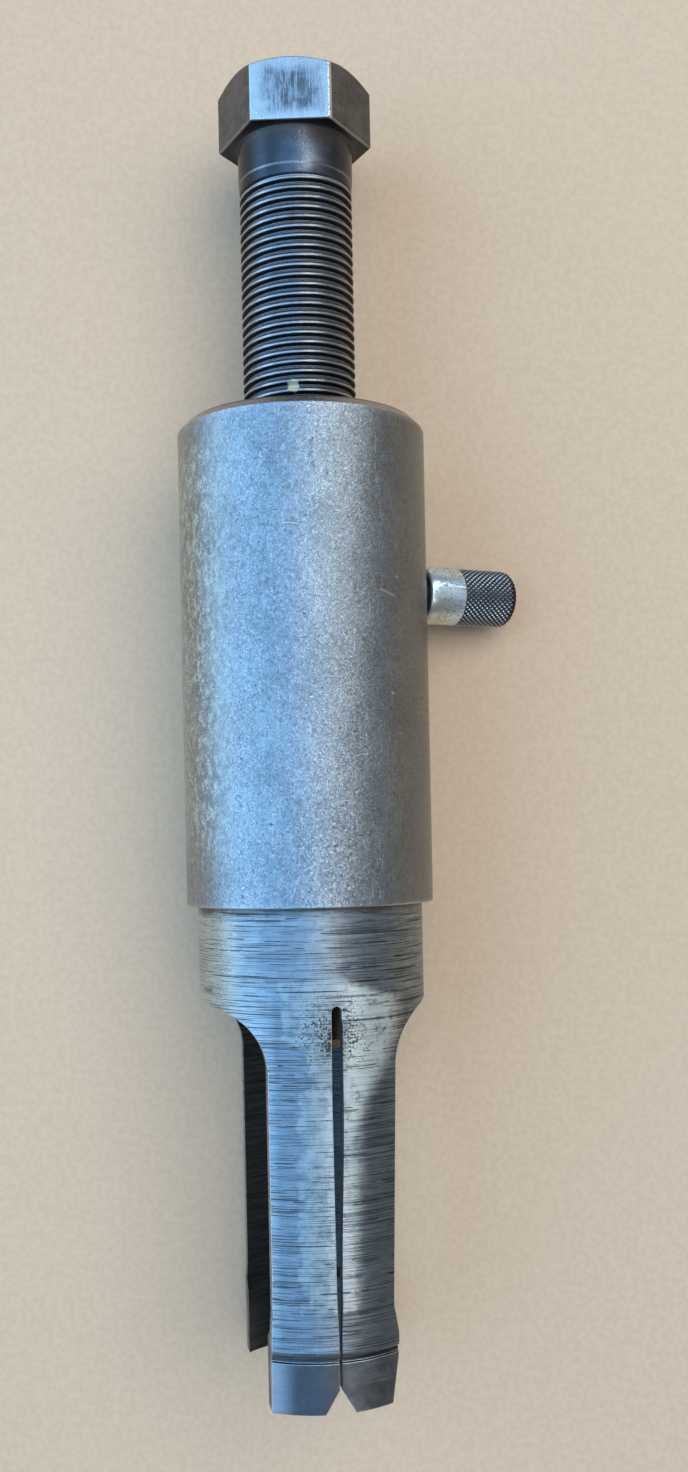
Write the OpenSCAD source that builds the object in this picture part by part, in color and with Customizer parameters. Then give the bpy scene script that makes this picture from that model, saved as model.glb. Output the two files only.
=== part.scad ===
// Ball joint separator: a four-finger jaw body with a sliding locking sleeve, a latch plunger on the
// sleeve, and a hex-headed forcing screw with a swivelling pressure pad.
// The tool lies along +Y with its hex head at +Y. The origin is on the tool's axis, level with the
// finger tips. Inside the file each part is built along its own +Z and then laid down by lay_down().

/* [Fingers] */
// Outside diameter of the jaw body
jaw_d = 38.0; // [36:0.1:40]
// Inside diameter between the fingers
cavity_d = 34.0; // [32:0.1:34.6]
// Inside diameter of the grip lip at the finger tips
grip_d = 31.0; // [30:0.1:31.6]
// Height of the grip lip
grip_h = 11; // [5:0.5:12]
// Width of a finger pair across its milled sides, at the window's arc
leg_w = 20.8; // [20:0.1:22]
// Narrowest width of a finger pair, just above the tips
leg_waist_w = 19.6; // [19:0.1:21]
// Width of a finger pair at the tips
tip_w = 20.7; // [20:0.1:21.5]
// Diameter of the milled arc at the top of each side window
window_d = 20.0; // [18:0.1:24]
// Height of the window arc's centre above the tips
window_y = 54.0; // [50:0.1:56]
// Height of the top of the slot that splits each finger pair
slot_top = 64.4; // [58:0.1:66]
// Slot width at its rounded top
slot_w = 1.7; // [1.2:0.1:2.4]
// Slot width at the fingers' waist
slot_waist_w = 0.8; // [0.6:0.05:1.1]
// Slot width at the finger tips, where the fingers spring together
slot_tip_w = 0.4; // [0.3:0.05:0.6]
// Turn of the fingers about the tool's axis, away from straight up
jaw_roll = 11.3; // [0:0.1:20]

/* [Tip lip] */
// Outside diameter of the lip below the groove
lip_d = 37.1; // [36:0.1:37.6]
// Height of the lip
lip_h = 8.0; // [6:0.1:10]
// Height of the groove above the lip
groove_h = 1.3; // [0.8:0.1:2]
// Depth of the groove below the finger surface
groove_deep = 0.9; // [0.4:0.1:1.2]
// Width of the notch between two tips
notch_w = 5.0; // [4:0.1:6]
// Height of the notch between two tips
notch_h = 4.2; // [3:0.1:5]
// How far the bevelled tip's side runs in
tip_bevel = 1.3; // [0.5:0.1:2]

/* [Locking sleeve] */
// Outside diameter of the sleeve
sleeve_d = 41.8; // [41:0.1:43]
// Height of the sleeve's lower edge above the tips
sleeve_y0 = 80.0; // [79:0.1:82]
// Height of the sleeve's upper edge above the tips
sleeve_y1 = 160.5; // [160:0.1:162]
// Chamfer at the sleeve's upper edge
sleeve_chamfer = 1.4; // [0.5:0.1:1.5]
// Travel of the sleeve towards the tips
sleeve_travel = 60; // [40:1:60]

/* [Forcing screw] */
// Outside diameter of the thread
thread_d = 19.15; // [18.9:0.05:19.2]
// Thread pitch
thread_pitch = 1.5875; // [1.5:0.0125:1.65]
// Depth of the thread
thread_deep = 0.95; // [0.6:0.05:1]
// Diameter of the plain shank below the head
shank_d = 19.4; // [19.2:0.1:19.6]
// Height of the hex head's underside above the tips
head_y = 208.0; // [207:0.1:210]
// Height of the hex head
head_h = 10.4; // [8:0.1:12]
// Hex size across the flats
head_af = 22.5; // [21.5:0.1:24]
// Turn of the hex about the tool's axis
head_turn = -2.2; // [-30:0.1:30]

/* [Pressure pad] */
// Height of the pad's working face above the tips
pad_y = 55.8; // [54:0.1:58]
// Outside diameter of the pad
pad_d = 15.0; // [14:0.1:17]
// Diameter of the screw's spigot inside the pad
spigot_d = 8.0; // [7:0.1:9]
// Diameter of the thrust ball
ball_d = 5.0; // [4:0.1:6]

/* [Latch plunger] */
// Height of the plunger's axis above the tips
plunger_y = 133.5; // [130:0.1:136]
// Direction of the plunger about the tool's axis, away from straight up
plunger_roll = 114.5; // [110:0.1:116]
// Knob diameter
knob_d = 10.1; // [9.5:0.1:11]
// Distance of the knob's base from the tool's axis
knob_r0 = 22.2; // [21.5:0.1:23]
// Distance of the knob's end from the tool's axis
knob_r1 = 40.0; // [39.5:0.1:41]
// Length of the knob's plain collar before its knurl
knob_plain = 6.9; // [4:0.1:9]
// Rounding of the knob's end
knob_round = 1.6; // [0.8:0.1:2]
// Diameter of the plunger's nose
pin_d = 4.8; // [4:0.1:5]
// Distance of the nose's end from the tool's axis
pin_r0 = 16.8; // [16.6:0.1:17.5]

/* [Hidden] */
$fn = 96;
eps = 0.01;

// Radial clearance of everything that turns or slides
fit = 0.06;
// Radial clearance of what is pressed or screwed together for good
tight = 0.01;

// Jaw body: the boss above the cavity holds the forcing thread
boss_y0 = 68;
boss_y1 = 158;
boss_chamfer = 0.8;
grip_ramp = 1.5;
bore_r = thread_d / 2 + fit;
bore_chamfer = 0.8;
key_w = 5;
key_h = 6;
key_floor = pin_r0 - 0.3;
key_y0 = plunger_y - sleeve_travel;

// Small edges of the turned outline: at the tips, and at the two sides of the groove
tip_edge = 0.1;
groove_foot = 0.15;
groove_ramp = 0.4;
groove_rim = 0.5;

// Finger sides: straight down to the waist, then flared out again to the lip. The fingers have
// sprung a little to one side, so each width sits off the axis by its own amount.
waist_y = 16;
flare_y = 11.5;
leg_off = 0.15;
waist_off = -0.45;
tip_off = -0.15;
bevel_y = lip_h - 0.4;

// The slot keeps its width down to slot_full_y, and leans to one side above slot_still_y
slot_full_y = 51;
slot_waist_y = 18;
slot_close_y = 12;
slot_still_y = 20;
slot_lean = 0.0105;

// Depth of every cut that goes right through, and how far a cut runs past the tips
through = 60;
past = 1;

// Small edges of the sleeve's bore and lower end
sleeve_edge = 0.15;

// Forcing screw
thread_y0 = 70;
thread_y1 = 200.2;
runout_d = thread_d - 0.2;
runout_h = 1.5;
runout_ramp = 0.3;
spigot_edge = 0.4;
head_inset = 0.5;

// Pressure pad: ball_y is the ball's centre
ball_y = 61.5;
socket_y = 61;
pad_y1 = 69.7;
pad_chamfer = 1.6;
pad_rim = 0.6;
spigot_y = 62.5;
ring_y = 66;
ring_wire = 1.4;
ring_gap = 1.2;

// Latch plunger: the bushing is screwed into the sleeve, and the spring works between the
// shoulder of the pin and the cap of the bushing
bushing_d = 7.6;
bushing_r0 = 19.2;
bushing_r1 = 35.8;
cap_t = 1.3;
chamber_r0 = 24.5;
chamber_d = 6.2;
shoulder_r = 25.5;
nose = 0.6;
stem_d = 2.6;
stem_r1 = 38.4;
spring_wire = 0.6;
spring_d = 5.0;
spring_turns = 6;
spring_play = 0.02;
knob_edge = 0.3;
knob_gap = 0.4;
knurl_rings = 12;
knurl_deep = 0.22;

// Lays a part built along +Z down so that it runs along +Y, with its own -Y side up
module lay_down() { rotate([-90, 0, 0]) children(); }

// Places a part built along +Z on a spoke of the tool at height y, turned from straight up
module spoke(y, roll) {
    lay_down() translate([0, 0, y]) rotate([0, 0, roll]) rotate([90, 0, 0]) children();
}

// A finger pair's edge on one side, as [distance from the axis, height]; side is -1 or 1
function side_line(side) = [
    [leg_w / 2 + side * leg_off, window_y],
    [leg_waist_w / 2 + side * waist_off, waist_y],
    [tip_w / 2 + side * tip_off, flare_y],
    [tip_w / 2 + side * tip_off, -past]
];

// Cuts one side window right through, front to back
module window_cut(side) {
    centre = leg_w / 2 + side * leg_off + window_d / 2;
    top = window_y + window_d / 2;
    rotate([90, 0, 0]) linear_extrude(height = through, center = true) scale([side, 1]) union() {
        translate([centre, window_y]) circle(d = window_d);
        polygon(concat(side_line(side), [[centre, -past], [centre + jaw_d, -past],
                                         [centre + jaw_d, top], [centre, top]]));
    }
}

// One point of the slot's edge; side is -1 or 1
function slot_point(side, wide, y) = [side * wide / 2 + slot_lean * max(0, y - slot_still_y), y];

function slot_edge(side) = [
    slot_point(side, slot_w, slot_full_y),
    slot_point(side, slot_waist_w, slot_waist_y),
    slot_point(side, slot_tip_w, slot_close_y),
    slot_point(side, slot_tip_w, -past)
];

// Cuts the slot that splits both finger pairs, with its round top, and the notch at its foot
module slot_cut() {
    right = slot_edge(1);
    centre = slot_point(0, slot_w, slot_top - slot_w / 2);
    round_top = [for (a = [0 : 15 : 180]) centre + slot_w / 2 * [cos(a), sin(a)]];
    notch_reach = notch_w / 2 * (notch_h + past) / notch_h;
    rotate([90, 0, 0]) linear_extrude(height = through, center = true) union() {
        polygon(concat([for (i = [len(right) - 1 : -1 : 0]) right[i]], round_top, slot_edge(-1)));
        polygon([[0, notch_h], [notch_reach, -past], [-notch_reach, -past]]);
    }
}

// Runs in the outer side of the front right tip, below bevel_y
module bevel_cut() {
    edge = tip_w / 2 + tip_off;
    slope = tip_bevel / bevel_y;
    translate([0, -jaw_d / 2, 0]) rotate([90, 0, 0]) linear_extrude(height = jaw_d / 2, center = true)
        polygon([[edge + slope * past, bevel_y + past], [edge - slope * (bevel_y + past), -past],
                 [edge + past, -past], [edge + past, bevel_y + past]]);
}

// Lengthwise keyway for the plunger's nose, as long as the sleeve's travel
module keyway_cut() {
    rotate([0, 0, plunger_roll]) rotate([90, 0, 0]) translate([0, 0, key_floor]) {
        translate([0, key_y0, 0]) cylinder(h = key_h, d = key_w);
        translate([0, plunger_y, 0]) cylinder(h = key_h, d = key_w);
        translate([-key_w / 2, key_y0, 0]) cube([key_w, sleeve_travel, key_h]);
    }
}

module jaw_body() {
    r = jaw_d / 2;
    floor_r = r - groove_deep;
    groove_y = lip_h + groove_h;
    color([0.55, 0.56, 0.58]) lay_down() difference() {
        rotate_extrude() polygon([
            [grip_d / 2, 0], [lip_d / 2 - tip_edge, 0], [lip_d / 2, tip_edge], [lip_d / 2, lip_h],
            [floor_r, lip_h + groove_foot], [floor_r, groove_y - groove_ramp],
            [r - groove_foot, groove_y], [r, groove_y + groove_rim],
            [r, boss_y1 - boss_chamfer], [r - boss_chamfer, boss_y1],
            [bore_r + bore_chamfer, boss_y1], [bore_r, boss_y1 - bore_chamfer], [bore_r, boss_y0],
            [cavity_d / 2, boss_y0], [cavity_d / 2, grip_h + grip_ramp], [grip_d / 2, grip_h]]);
        rotate([0, 0, jaw_roll]) {
            window_cut(-1);
            window_cut(1);
            slot_cut();
            bevel_cut();
        }
        keyway_cut();
    }
}

module locking_sleeve() {
    r = sleeve_d / 2;
    bore = jaw_d / 2 + fit;
    color([0.52, 0.53, 0.55]) lay_down() difference() {
        rotate_extrude() polygon([
            [bore + sleeve_edge, sleeve_y0], [r - sleeve_edge, sleeve_y0], [r, sleeve_y0 + sleeve_edge],
            [r, sleeve_y1 - sleeve_chamfer], [r - sleeve_chamfer, sleeve_y1],
            [bore + sleeve_edge, sleeve_y1], [bore, sleeve_y1 - sleeve_edge],
            [bore, sleeve_y0 + sleeve_edge]]);
        translate([0, 0, plunger_y]) rotate([0, 0, plunger_roll]) rotate([90, 0, 0])
            cylinder(h = through, d = bushing_d + 2 * tight);
    }
}

// Outline of the thread: one 60 degree ridge per pitch, with a small flat on each crest
function thread_line() = [
    let (turns = floor((thread_y1 - thread_y0) / thread_pitch), r = thread_d / 2,
         crest = thread_pitch / 8)
    for (i = [0 : turns - 1])
        let (y = thread_y0 + i * thread_pitch)
        each [[r - thread_deep, y], [r, y + thread_pitch / 2 - crest / 2],
              [r, y + thread_pitch / 2 + crest / 2], [r - thread_deep, y + thread_pitch - eps]]
];

module forcing_screw() {
    groove = ring_wire / 2 + fit;
    color([0.33, 0.32, 0.32]) lay_down() difference() {
        union() {
            rotate_extrude() polygon(concat(
                [[0, spigot_y], [spigot_d / 2 - spigot_edge, spigot_y],
                 [spigot_d / 2, spigot_y + spigot_edge], [spigot_d / 2, thread_y0 - eps]],
                thread_line(),
                [[runout_d / 2, thread_y1 + eps], [runout_d / 2, thread_y1 + runout_h],
                 [shank_d / 2, thread_y1 + runout_h + runout_ramp], [shank_d / 2, head_y + past],
                 [0, head_y + past]]));
            intersection() {
                translate([0, 0, head_y]) rotate([0, 0, head_turn])
                    cylinder(h = head_h, d = head_af / cos(30), $fn = 6);
                rotate_extrude() polygon([
                    [0, head_y - past], [head_af, head_y - past],
                    [head_af, head_y + head_h - (head_af / 2 + head_inset) * tan(30)],
                    [head_af / 2 - head_inset, head_y + head_h], [0, head_y + head_h]]);
            }
        }
        translate([0, 0, ball_y]) sphere(r = ball_d / 2 + fit);
        translate([0, 0, ring_y]) rotate_extrude() translate([spigot_d / 2 + fit, 0])
            circle(r = groove, $fn = 32);
    }
}

module pressure_pad() {
    r = pad_d / 2;
    color([0.28, 0.25, 0.23]) lay_down() difference() {
        rotate_extrude() polygon([
            [0, pad_y], [r - pad_chamfer, pad_y], [r, pad_y + pad_chamfer], [r, pad_y1 - pad_rim],
            [r - pad_rim, pad_y1],
            [spigot_d / 2 + fit, pad_y1], [spigot_d / 2 + fit, socket_y], [0, socket_y]]);
        translate([0, 0, ball_y]) sphere(r = ball_d / 2 + tight);
        translate([0, 0, ring_y]) rotate_extrude() translate([spigot_d / 2 + fit, 0])
            circle(r = ring_wire / 2 + tight, $fn = 32);
    }
}

module thrust_ball() {
    color([0.75, 0.76, 0.78]) lay_down() translate([0, 0, ball_y]) sphere(d = ball_d);
}

// Split wire ring that keeps the pad on the screw's spigot
module pad_retaining_ring() {
    color([0.45, 0.45, 0.47]) lay_down() translate([0, 0, ring_y]) difference() {
        rotate_extrude() translate([spigot_d / 2 + fit, 0]) circle(d = ring_wire, $fn = 32);
        translate([0, -ring_gap / 2, -ring_wire]) cube([spigot_d, ring_gap, 2 * ring_wire]);
    }
}

module plunger_bushing() {
    color([0.2, 0.2, 0.21]) spoke(plunger_y, plunger_roll) difference() {
        translate([0, 0, bushing_r0]) cylinder(h = bushing_r1 - bushing_r0, d = bushing_d);
        translate([0, 0, bushing_r0 - past])
            cylinder(h = chamber_r0 - bushing_r0 + 2 * past, d = pin_d + 2 * fit);
        translate([0, 0, chamber_r0]) cylinder(h = bushing_r1 - cap_t - chamber_r0, d = chamber_d);
        translate([0, 0, chamber_r0]) cylinder(h = bushing_r1 - chamber_r0 + past, d = stem_d + 2 * fit);
    }
}

module plunger_pin() {
    color([0.6, 0.6, 0.62]) spoke(plunger_y, plunger_roll) {
        translate([0, 0, pin_r0]) cylinder(h = nose, d1 = pin_d - 2 * nose, d2 = pin_d);
        translate([0, 0, pin_r0 + nose]) cylinder(h = shoulder_r - pin_r0 - nose, d = pin_d);
        translate([0, 0, shoulder_r]) cylinder(h = stem_r1 - shoulder_r, d = stem_d);
    }
}

// A coil spring as a tube swept along its helix, closed at both ends
module coil_spring(mean_r, wire_r, length, turns, steps = 20, sides = 8) {
    rise = (length - 2 * wire_r) / turns;
    count = turns * steps;
    points = [for (i = [0 : count], k = [0 : sides - 1])
        let (turn = i / steps, a = 360 * k / sides, reach = mean_r + wire_r * cos(a))
            [reach * cos(360 * turn), reach * sin(360 * turn), rise * turn + wire_r + wire_r * sin(a)]];
    tube = [for (i = [0 : count - 1], k = [0 : sides - 1]) let (n = (k + 1) % sides)
        [(i + 1) * sides + k, (i + 1) * sides + n, i * sides + n, i * sides + k]];
    start = [[for (k = [0 : sides - 1]) k]];
    end = [[for (k = [sides - 1 : -1 : 0]) count * sides + k]];
    polyhedron(points = points, faces = concat(tube, start, end));
}

module plunger_spring() {
    length = bushing_r1 - cap_t - shoulder_r - 2 * spring_play;
    color([0.5, 0.5, 0.52]) spoke(plunger_y, plunger_roll) translate([0, 0, shoulder_r + spring_play])
        coil_spring((spring_d - spring_wire) / 2, spring_wire / 2, length, spring_turns);
}

// The knurl stands for itself as rings; its crests reach the knob's full diameter
module plunger_knob() {
    r = knob_d / 2;
    knurl_r0 = knob_r0 + knob_plain;
    step = (knob_r1 - knob_round - knurl_r0) / knurl_rings;
    corner = [for (a = [0 : 15 : 90])
        [r - knob_round + knob_round * cos(a), knob_r1 - knob_round + knob_round * sin(a)]];
    color([0.5, 0.52, 0.55]) spoke(plunger_y, plunger_roll) difference() {
        rotate_extrude() polygon(concat(
            [[0, knob_r0], [r - knob_edge, knob_r0], [r, knob_r0 + knob_edge], [r, knurl_r0]],
            [for (i = [0 : knurl_rings - 1]) each [
                [r - knurl_deep, knurl_r0 + (i + 0.5) * step], [r, knurl_r0 + (i + 1) * step - eps]]],
            corner, [[0, knob_r1]]));
        translate([0, 0, knob_r0 - past])
            cylinder(h = bushing_r1 + knob_gap - knob_r0 + past, d = bushing_d + 2 * fit);
        translate([0, 0, knob_r0]) cylinder(h = stem_r1 - knob_r0, d = stem_d + 2 * tight);
    }
}

jaw_body();
locking_sleeve();
forcing_screw();
pressure_pad();
thrust_ball();
pad_retaining_ring();
plunger_bushing();
plunger_pin();
plunger_spring();
plunger_knob();
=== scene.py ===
"""Looks of the ball joint separator: a turned and milled steel puller on a pale floor, seen from above."""
import math

import bmesh
import bpy
from mathutils import Matrix, Vector


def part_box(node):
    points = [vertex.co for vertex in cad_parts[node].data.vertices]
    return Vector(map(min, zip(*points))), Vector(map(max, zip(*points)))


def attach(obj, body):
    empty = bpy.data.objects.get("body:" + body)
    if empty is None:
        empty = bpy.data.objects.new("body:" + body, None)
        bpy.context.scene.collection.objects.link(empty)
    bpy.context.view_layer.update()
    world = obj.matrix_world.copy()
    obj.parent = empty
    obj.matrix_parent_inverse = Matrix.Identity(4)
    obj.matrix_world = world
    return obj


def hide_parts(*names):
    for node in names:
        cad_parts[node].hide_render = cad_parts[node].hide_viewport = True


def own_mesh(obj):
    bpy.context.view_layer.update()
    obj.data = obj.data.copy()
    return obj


MM = 0.001
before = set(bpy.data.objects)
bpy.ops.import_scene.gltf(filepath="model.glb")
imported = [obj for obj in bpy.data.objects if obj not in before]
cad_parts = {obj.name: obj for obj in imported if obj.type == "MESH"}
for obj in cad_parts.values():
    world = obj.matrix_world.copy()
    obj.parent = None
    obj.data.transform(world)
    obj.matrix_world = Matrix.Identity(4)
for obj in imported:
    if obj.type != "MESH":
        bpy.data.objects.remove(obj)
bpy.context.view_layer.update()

# ---------------------------------------------------------------- dimensions, in millimetres
# Places along the tool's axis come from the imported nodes; the rest is what the CAD model was designed to.


def span(node, axis):
    """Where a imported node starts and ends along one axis."""
    low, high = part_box(node)
    return low[axis] / MM, high[axis] / MM


SLEEVE_Y0, SLEEVE_Y1 = span("locking_sleeve", 1)
SLEEVE_R = span("locking_sleeve", 0)[1]
JAW_R = span("jaw_body", 0)[1]
SCREW_Y0, HEAD_TOP = span("forcing_screw", 1)

# Forcing screw
PITCH = 1.5875
THREAD_R = 9.575
ROOT_R = 8.7
THREAD_Y0, THREAD_Y1 = 70.0, 200.2
SPIGOT_R = 4.0
SHANK_R = 9.7
HEAD_AF = 22.5
HEAD_Y = HEAD_TOP - 10.4
HEAD_TURN = math.radians(2.2)
HEAD_FACE_R = HEAD_AF / 2 - 0.5
HEAD_CHAMFER = math.radians(30)

# Jaw body: its roll, and how far a slot reaches to the right of its middle at each height
JAW_ROLL = math.radians(11.3)
CAVITY_R = 17.0
GROOVE_Y = 8.0
FINGER_TOP, COLLAR_FOOT = 60.0, 68.0
SLOT_CLOSE_Y, SLOT_WAIST_Y, SLOT_FULL_Y, SLOT_TOP = 12.0, 18.0, 51.0, 64.4
SLOT_TIP_REACH, SLOT_WAIST_REACH = 0.2, 0.4
SLOT_FULL_GROWTH, SLOT_TOP_GROWTH = 0.78, 0.14
FROST_Y0, FROST_Y1 = 17.0, 68.0

# Marks struck into the sleeve, as (x, y, lean)
SLEEVE_NICKS = ((-1.2, 140.2, 0.15), (13.6, 130.0, 0.35), (8.6, 104.0, -0.2))
# Dab of paint on the thread, beside the sleeve's edge
PAINT_X, PAINT_Y = -0.8, SLEEVE_Y1 + 4.7

# Latch plunger, measured outward from the tool's axis
PLUNGER_Y = 133.5
PLUNGER_ROLL = math.radians(114.5)
KNOB_R = 5.05
KNOB_BASE, KNOB_END = 22.2, 40.0
KNOB_PLAIN = 6.9
KNOB_ROUND = 1.6
KNOB_BORE_R, KNOB_BORE_END = 3.86, 36.2
KNURL_START = KNOB_BASE + KNOB_PLAIN
KNURL_AROUND = 36
KNURL_STEP = 1.0
KNURL_DEEP = 0.3
KNURL_POINTS = 6
SPRING_START, SPRING_END = 25.52, 34.48
SPRING_R, SPRING_WIRE_R = 2.2, 0.3
SPRING_TURNS = 6

# Where the lights are aimed: the middle of the tool, in metres
LIGHT_AIM = Vector((0.0, 0.11, 0.0))


# ---------------------------------------------------------------- shader building blocks


class Graph:
    """A small wrapper for building a node material; every texture coordinate is in millimetres."""

    def __init__(self, name):
        self.material = bpy.data.materials.new(name)
        self.material.use_nodes = True
        self.tree = self.material.node_tree
        self.tree.nodes.clear()
        self.rounded = None
        output = self.node("ShaderNodeOutputMaterial")
        self.shader = self.node("ShaderNodeBsdfPrincipled")
        self.link(self.shader.outputs["BSDF"], output.inputs["Surface"])
        coordinates = self.node("ShaderNodeTexCoord")
        self.place = self.stretched(coordinates.outputs["Object"], (1 / MM, 1 / MM, 1 / MM))
        parts = self.node("ShaderNodeSeparateXYZ")
        self.link(self.place, parts.inputs[0])
        self.x, self.y, self.z = parts.outputs

    def node(self, kind, **settings):
        made = self.tree.nodes.new(kind)
        for key, value in settings.items():
            setattr(made, key, value)
        return made

    def link(self, source, target):
        self.tree.links.new(source, target)

    def feed(self, value, target):
        """Links a socket to the target, or sets a constant on it."""
        if isinstance(value, bpy.types.NodeSocket):
            self.link(value, target)
        else:
            target.default_value = value

    def math(self, operation, a, b=0.0, clamp=False):
        made = self.node("ShaderNodeMath", operation=operation, use_clamp=clamp)
        self.feed(a, made.inputs[0])
        self.feed(b, made.inputs[1])
        return made.outputs[0]

    def add(self, a, b):
        return self.math("ADD", a, b)

    def less(self, a, b, clamp=False):
        return self.math("SUBTRACT", a, b, clamp)

    def times(self, first, *others):
        for value in others:
            first = self.math("MULTIPLY", first, value)
        return first

    def either(self, a, b):
        return self.math("MAXIMUM", a, b)

    def size(self, value):
        return self.math("ABSOLUTE", value)

    def without(self, mask, strength=1.0):
        """1 where the mask is 0, and 1 - strength where it is 1."""
        return self.less(1.0, self.times(mask, strength))

    def swing(self, noise, amount):
        """Noise shifted to lie around 0, with amount between its ends."""
        return self.times(self.add(noise, -0.5), amount)

    def rise(self, value, low, high, to_low=0.0, to_high=1.0):
        """Goes smoothly from to_low to to_high while value goes from low to high."""
        made = self.node("ShaderNodeMapRange", interpolation_type="SMOOTHSTEP")
        if low > high:
            low, high, to_low, to_high = high, low, to_high, to_low
        for index, item in enumerate((value, low, high, to_low, to_high)):
            self.feed(item, made.inputs[index])
        return made.outputs[0]

    def band(self, value, low, high, soft):
        """1 between low and high, fading out over soft."""
        return self.times(self.rise(value, low - soft, low), self.rise(value, high + soft, high))

    def stretched(self, vector, factors):
        made = self.node("ShaderNodeVectorMath", operation="MULTIPLY")
        self.link(vector, made.inputs[0])
        made.inputs[1].default_value = factors
        return made.outputs[0]

    def noise(self, factors, detail=3.0, rough=0.55):
        """Noise with features 1 / factors millimetres large; one number serves all three axes."""
        if isinstance(factors, float):
            factors = (factors, factors, factors)
        made = self.node("ShaderNodeTexNoise", noise_dimensions="3D")
        self.link(self.stretched(self.place, factors), made.inputs["Vector"])
        made.inputs["Scale"].default_value = 1.0
        made.inputs["Detail"].default_value = detail
        made.inputs["Roughness"].default_value = rough
        return made.outputs["Fac"]

    def mix(self, amount, a, b):
        """Colour a where amount is 0, and colour b where it is 1."""
        made = self.node("ShaderNodeMix", data_type="RGBA")
        self.feed(amount, made.inputs[0])
        self.feed((*a, 1.0) if isinstance(a, tuple) else a, made.inputs[6])
        self.feed((*b, 1.0) if isinstance(b, tuple) else b, made.inputs[7])
        return made.outputs[2]

    def coat(self, base, mask, strength, colour):
        """The base with another colour laid over it where the mask is 1."""
        return self.mix(self.times(mask, strength), base, colour)

    def radial(self, a, b):
        return self.math("SQRT", self.add(self.times(a, a), self.times(b, b)))

    def worn_edge_highlight(self, radius=0.22, sharp=0.93):
        """1 along edges, where wear has polished the metal; the bright colour laid there is partly a
        painted highlight.
        """
        bevel = self.node("ShaderNodeBevel", samples=4)
        bevel.inputs["Radius"].default_value = radius * MM
        geometry = self.node("ShaderNodeNewGeometry")
        dot = self.node("ShaderNodeVectorMath", operation="DOT_PRODUCT")
        self.link(bevel.outputs[0], dot.inputs[0])
        self.link(geometry.outputs["Normal"], dot.inputs[1])
        self.rounded = bevel.outputs[0]
        return self.rise(dot.outputs["Value"], 0.995, sharp)

    def finish(self, colour, roughness, height=None, bump_mm=0.02, metallic=1.0, rounded=True):
        """Feeds the shader. Height is the fine relief, bump_mm deep where it goes from 0 to 1."""
        self.feed(colour, self.shader.inputs["Base Color"])
        self.feed(roughness, self.shader.inputs["Roughness"])
        self.feed(metallic, self.shader.inputs["Metallic"])
        normal = self.rounded if rounded else None
        if height is not None:
            bump = self.node("ShaderNodeBump")
            bump.inputs["Strength"].default_value = 1.0
            bump.inputs["Distance"].default_value = bump_mm * MM
            self.link(height, bump.inputs["Height"])
            if normal is not None:
                self.link(normal, bump.inputs["Normal"])
            normal = bump.outputs[0]
        if normal is not None:
            self.link(normal, self.shader.inputs["Normal"])
        return self.material


# ---------------------------------------------------------------- jaw body's material


def jaw_lines(g, right_side):
    """Dark tool lines round the body: broad ones, hairlines, and a few deep ones."""
    on_right = g.times(right_side, g.rise(g.y, COLLAR_FOOT, FINGER_TOP, 0.015, 0.06))
    on_collar = g.rise(g.y, COLLAR_FOOT, FINGER_TOP + 2.0, -0.025, -0.015)
    lines = g.add(g.noise((0.055, 5.5, 0.055), 1.6, 0.6), g.add(on_right, on_collar))
    patches = g.noise((0.09, 0.14, 0.09), 3.0)
    dark = g.times(g.rise(lines, 0.57, 0.61), g.rise(patches, 0.36, 0.50))
    hair = g.times(g.rise(g.noise((0.08, 8.0, 0.08), 1.6, 0.7), 0.55, 0.60),
                   g.rise(g.noise((0.12, 0.25, 0.12), 2.0), 0.38, 0.48))
    deep = g.times(g.rise(g.noise((0.06, 3.6, 0.06), 1.0, 0.5), 0.64, 0.66),
                   g.rise(g.noise((0.2, 0.6, 0.2), 2.0), 0.46, 0.50))
    return dark, hair, deep


def jaw_frost(g, across, ragged, patchy, right_side):
    """The ground, frosted patch on both sides of a slot, and the pale fringe that follows its waist, a
    painted highlight along the slot's edge.
    """
    beside = g.add(across, ragged)
    left_edge = g.add(g.rise(g.y, 52.0, 61.0, 5.9, 8.0), g.times(g.band(g.y, 53.0, 57.0, 3.0), -2.6))
    right_edge = g.add(g.rise(g.y, 16.0, 46.0, 2.2, 3.4), g.rise(g.y, 44.0, 62.0, 0.0, 7.5))
    height = g.add(g.add(g.y, g.times(ragged, 0.8)), g.times(right_side, across, 0.3))
    frost = g.times(g.rise(g.add(beside, left_edge), -0.4, 0.4),
                    g.rise(g.less(beside, right_edge), 2.2, -1.6),
                    g.band(height, FROST_Y0, FROST_Y1, 1.6),
                    g.rise(patchy, 0.68, 0.88, 0.15, 1.0))
    fringe_edge = g.rise(g.y, 20.0, 44.0, 2.6, 0.9)
    slot_fringe_highlight = g.times(g.rise(g.less(beside, fringe_edge), 0.5, -0.5),
                     g.rise(beside, -2.0, -1.1),
                     g.band(g.y, FROST_Y0, 50.0, 2.0))
    return frost, slot_fringe_highlight


def jaw_rust(g, across, mottle):
    """Crumbs of dark rust around the top of a slot."""
    near = g.radial(across, g.add(g.y, -(SLOT_TOP - 4.5)))
    crumbs = g.add(g.noise(2.6, 3.0, 0.8), g.rise(near, 6.5, 1.5, -0.02, 0.10))
    crumbs = g.add(crumbs, g.swing(mottle, 0.35))
    return g.times(g.rise(crumbs, 0.58, 0.62), g.rise(near, 8.0, 5.5))


def jaw_slot_wall(g, across):
    """The right wall of a slot with the very edge above it, which lies in shadow."""
    reach = g.add(g.rise(g.y, SLOT_CLOSE_Y, SLOT_WAIST_Y, SLOT_TIP_REACH, SLOT_WAIST_REACH),
                  g.rise(g.y, SLOT_WAIST_Y, SLOT_FULL_Y, 0.0, SLOT_FULL_GROWTH))
    reach = g.add(reach, g.rise(g.y, SLOT_FULL_Y, SLOT_TOP, 0.0, SLOT_TOP_GROWTH))
    return g.times(g.band(g.less(across, reach), -0.25, 0.10, 0.06), g.rise(g.y, 62.5, 61.5))


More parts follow.
